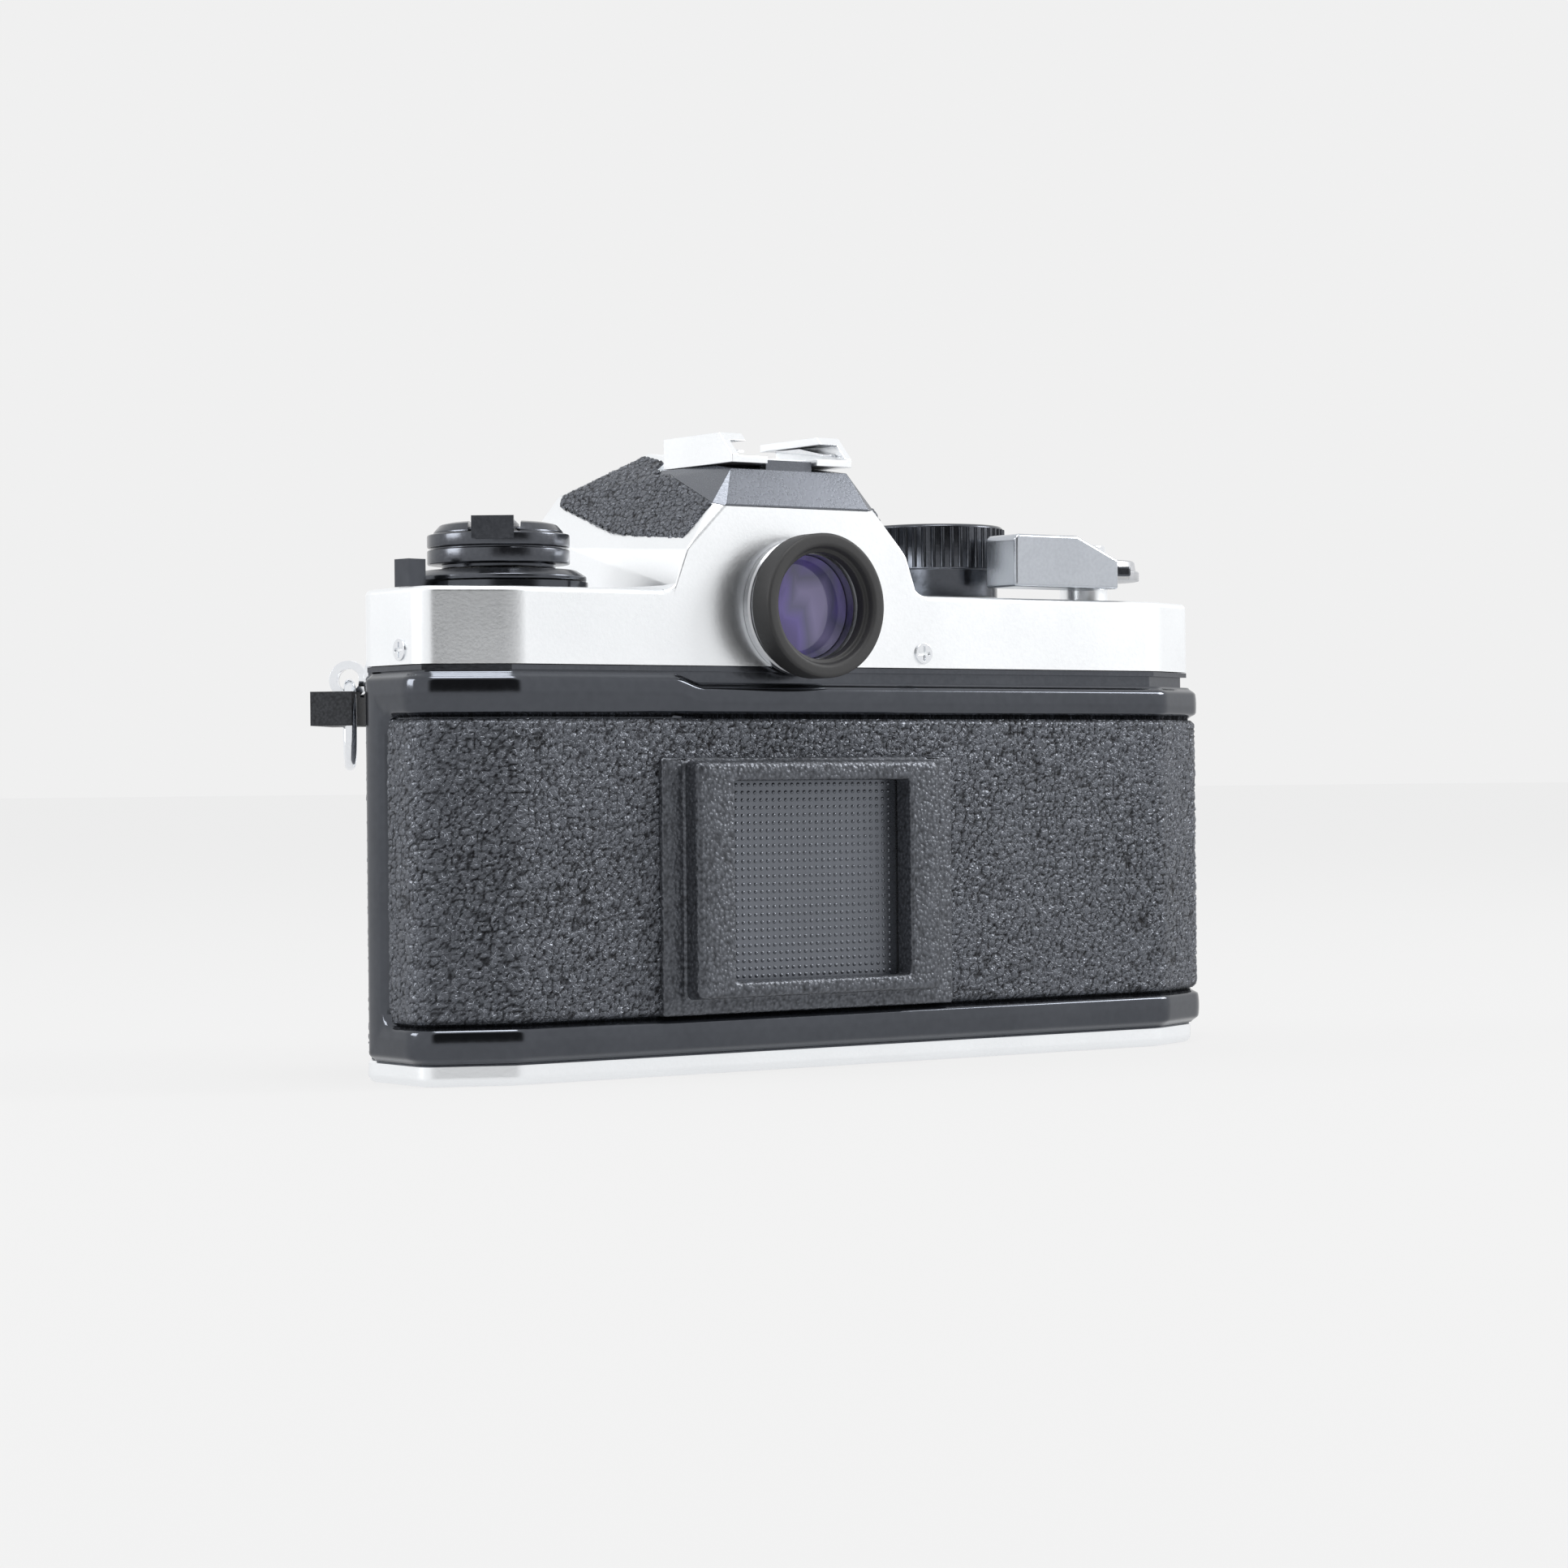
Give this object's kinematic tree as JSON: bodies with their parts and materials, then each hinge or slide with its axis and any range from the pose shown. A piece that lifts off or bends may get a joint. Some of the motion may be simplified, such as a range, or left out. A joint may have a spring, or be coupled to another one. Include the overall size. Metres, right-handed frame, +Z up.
{
  "type": "single-lens reflex camera body",
  "caption": "Satin silver and black leatherette 35 mm reflex camera body with roof prism, accessory shoe, open lens mount, hinged back door and working controls.",
  "frame": {"origin": "mouth of the tripod socket in the base plate, under the lens axis", "axes": "+Z up, lens faces -Y, back door on +Y, +X towards the rewind-knob end"},
  "size_m": [0.1481, 0.0589, 0.09],
  "materials": {
    "satin_silver": "fine satin silver plate",
    "bright_metal": "bright chrome plate",
    "gloss_black": "smooth glossy black enamel",
    "black_paint": "satin black paint",
    "leatherette": "pebbled black leatherette",
    "black_plastic": "finely stippled black plastic",
    "cap_plastic": "semi-gloss black plastic",
    "rubber": "matte black rubber",
    "glass": "clear coated optical glass",
    "mirror": "front-silvered mirror",
    "steel": "plain machined steel",
    "foam": "black light-seal foam"
  },
  "bodies": {
    "camera": {"body_casting": "black_paint", "front_leather": "leatherette", "front_standard": "satin_silver", "mirror_box": "black_plastic", "focusing_screen": "glass", "pentaprism": "glass", "shutter_frame": "black_paint", "film_gate": "black_paint", "lens_mount_ring": "bright_metal", "mount_screws": "bright_metal", "sync_socket": "bright_metal", "top_cover": "satin_silver", "prism_cap": "cap_plastic", "prism_leather": "leatherette", "accessory_shoe": "satin_silver", "shoe_contact": "black_plastic", "eyepiece_barrel": "bright_metal", "eyepiece_ring": "rubber", "eyepiece_lens": "glass", "body_screws": "bright_metal", "base_plate": "satin_silver", "tripod_bush": "steel", "battery_cap": "bright_metal", "hinge_pin": "steel", "light_seals": "foam", "counter_window": "glass", "strap_lugs": "bright_metal"},
    "door": {"back_door": "gloss_black", "door_leather": "leatherette", "memo_frame": "black_plastic", "memo_plate": "black_plastic", "plate_spring": "steel"},
    "film_plate": {"pressure_plate": "black_paint"},
    "mirror": {"reflex_mirror": "mirror"},
    "blade_1": {"shutter_blade_1": "steel"},
    "blade_2": {"shutter_blade_2": "steel"},
    "blade_3": {"shutter_blade_3": "steel"},
    "lens_release": {"lens_release_button": "bright_metal"},
    "depth_preview": {"depth_preview_lever": "bright_metal"},
    "self_timer": {"self_timer_lever": "black_paint"},
    "collar": {"shaft_collar": "steel"},
    "rewind": {"rewind_shaft": "steel", "rewind_knob": "black_paint"},
    "crank": {"rewind_crank": "black_paint"},
    "exposure": {"exposure_dial": "black_paint"},
    "door_lock": {"door_lock_lever": "gloss_black"},
    "speed": {"speed_dial": "black_paint"},
    "advance": {"advance_lever": "black_paint", "lever_tip": "gloss_black"},
    "release": {"shutter_button": "bright_metal"},
    "counter": {"frame_counter": "steel"},
    "spool": {"take_up_spool": "black_plastic"},
    "film_sprocket": {"sprocket": "steel"},
    "motor_drive": {"motor_coupling": "steel"},
    "rewind_release": {"rewind_release_button": "bright_metal"},
    "ring_left": {"strap_ring_left": "bright_metal", "ring_guard_left": "black_plastic"},
    "ring_right": {"strap_ring_right": "bright_metal", "ring_guard_right": "black_plastic"}
  },
  "joints": [
    {"name": "door_open", "type": "hinge", "parent": "camera", "child": "door", "pos_m": [-0.0783, -0.0039, 0.028], "axis": [0, 0, 1], "range_deg": [0, 95]},
    {"name": "film_plate_press", "type": "slide", "parent": "door", "child": "film_plate", "axis": [0, 1, 0], "range_m": [0, 0.0012], "stiffness_N_per_m": 60},
    {"name": "mirror_flip", "type": "hinge", "parent": "camera", "child": "mirror", "pos_m": [0, 0.0012, 0.0504], "axis": [-1, 0, 0], "range_deg": [0, 45], "stiffness_Nm_per_rad": 0.01},
    {"name": "blade_1_drop", "type": "slide", "parent": "camera", "child": "blade_1", "axis": [0, 0, -1], "range_m": [0, 0.0258]},
    {"name": "blade_2_drop", "type": "slide", "parent": "camera", "child": "blade_2", "axis": [0, 0, -1], "range_m": [0, 0.0177]},
    {"name": "blade_3_drop", "type": "slide", "parent": "camera", "child": "blade_3", "axis": [0, 0, -1], "range_m": [0, 0.0096]},
    {"name": "lens_release_press", "type": "slide", "parent": "camera", "child": "lens_release", "axis": [0, 1, 0], "range_m": [0, 0.0018], "stiffness_N_per_m": 200},
    {"name": "depth_preview_press", "type": "hinge", "parent": "camera", "child": "depth_preview", "pos_m": [-0.028, -0.025, 0.051], "axis": [0, -1, 0], "range_deg": [0, 20], "stiffness_Nm_per_rad": 0.02},
    {"name": "self_timer_set", "type": "hinge", "parent": "camera", "child": "self_timer", "pos_m": [-0.037, -0.017, 0.043], "axis": [0, 1, 0], "range_deg": [0, 170]},
    {"name": "rewind_lift", "type": "slide", "parent": "camera", "child": "collar", "axis": [0, 0, 1], "range_m": [0, 0.0065]},
    {"name": "rewind_spin", "type": "hinge", "parent": "collar", "child": "rewind", "pos_m": [0.04, 0, 0.076], "axis": [0, 0, 1], "continuous": true},
    {"name": "crank_fold", "type": "hinge", "parent": "rewind", "child": "crank", "pos_m": [0.04, 0, 0.076], "axis": [0.809, -0.5878, 0], "range_deg": [0, 178]},
    {"name": "exposure_turn", "type": "hinge", "parent": "camera", "child": "exposure", "pos_m": [0.04, 0, 0.069], "axis": [0, 0, 1], "range_deg": [-60, 60]},
    {"name": "door_lock_turn", "type": "hinge", "parent": "camera", "child": "door_lock", "pos_m": [0.04, 0, 0.068], "axis": [0, 0, -1], "range_deg": [0, 18], "stiffness_Nm_per_rad": 0.05},
    {"name": "speed_turn", "type": "hinge", "parent": "camera", "child": "speed", "pos_m": [-0.0405, -0.005, 0.075], "axis": [0, 0, 1], "range_deg": [-150, 150]},
    {"name": "advance_wind", "type": "hinge", "parent": "camera", "child": "advance", "pos_m": [-0.0675, -0.0015, 0.072], "axis": [0, 0, 1], "range_deg": [0, 135], "stiffness_Nm_per_rad": 0.02},
    {"name": "release_press", "type": "slide", "parent": "camera", "child": "release", "axis": [0, 0, -1], "range_m": [0, 0.0018], "stiffness_N_per_m": 300},
    {"name": "counter_turn", "type": "hinge", "parent": "camera", "child": "counter", "pos_m": [-0.06, -0.008, 0.065], "axis": [0, 0, 1], "range_deg": [0, 10.5]},
    {"name": "spool_turn", "type": "hinge", "parent": "camera", "child": "spool", "pos_m": [-0.0675, -0.0015, 0.028], "axis": [0, 0, 1], "range_deg": [0, 275]},
    {"name": "sprocket_turn", "type": "hinge", "parent": "camera", "child": "film_sprocket", "pos_m": [-0.0275, 0.0058, 0.028], "axis": [0, 0, 1], "range_deg": [0, 365]},
    {"name": "motor_drive_turn", "type": "hinge", "parent": "camera", "child": "motor_drive", "pos_m": [-0.056, -0.006, 0.003], "axis": [0, 0, 1], "range_deg": [0, 140]},
    {"name": "rewind_release_press", "type": "slide", "parent": "camera", "child": "rewind_release", "axis": [0, 0, 1], "range_m": [0, 0.0012]},
    {"name": "ring_left_swing", "type": "hinge", "parent": "camera", "child": "ring_left", "pos_m": [0.0569, -0.0123, 0.0553], "axis": [-0.6691, -0.7431, 0], "range_deg": [-3, 55]},
    {"name": "ring_right_swing", "type": "hinge", "parent": "camera", "child": "ring_right", "pos_m": [-0.076, -0.0123, 0.0553], "axis": [-0.6691, 0.7431, 0], "range_deg": [-3, 55]}
  ],
  "couplings": [
    {"joint": "blade_2_drop", "follows": "blade_1_drop", "ratio": 0.68605},
    {"joint": "blade_3_drop", "follows": "blade_1_drop", "ratio": 0.37209},
    {"joint": "counter_turn", "follows": "advance_wind", "ratio": 0.07407},
    {"joint": "spool_turn", "follows": "advance_wind", "ratio": 2},
    {"joint": "sprocket_turn", "follows": "advance_wind", "ratio": 2.6667},
    {"joint": "motor_drive_turn", "follows": "advance_wind", "ratio": 1}
  ]
}
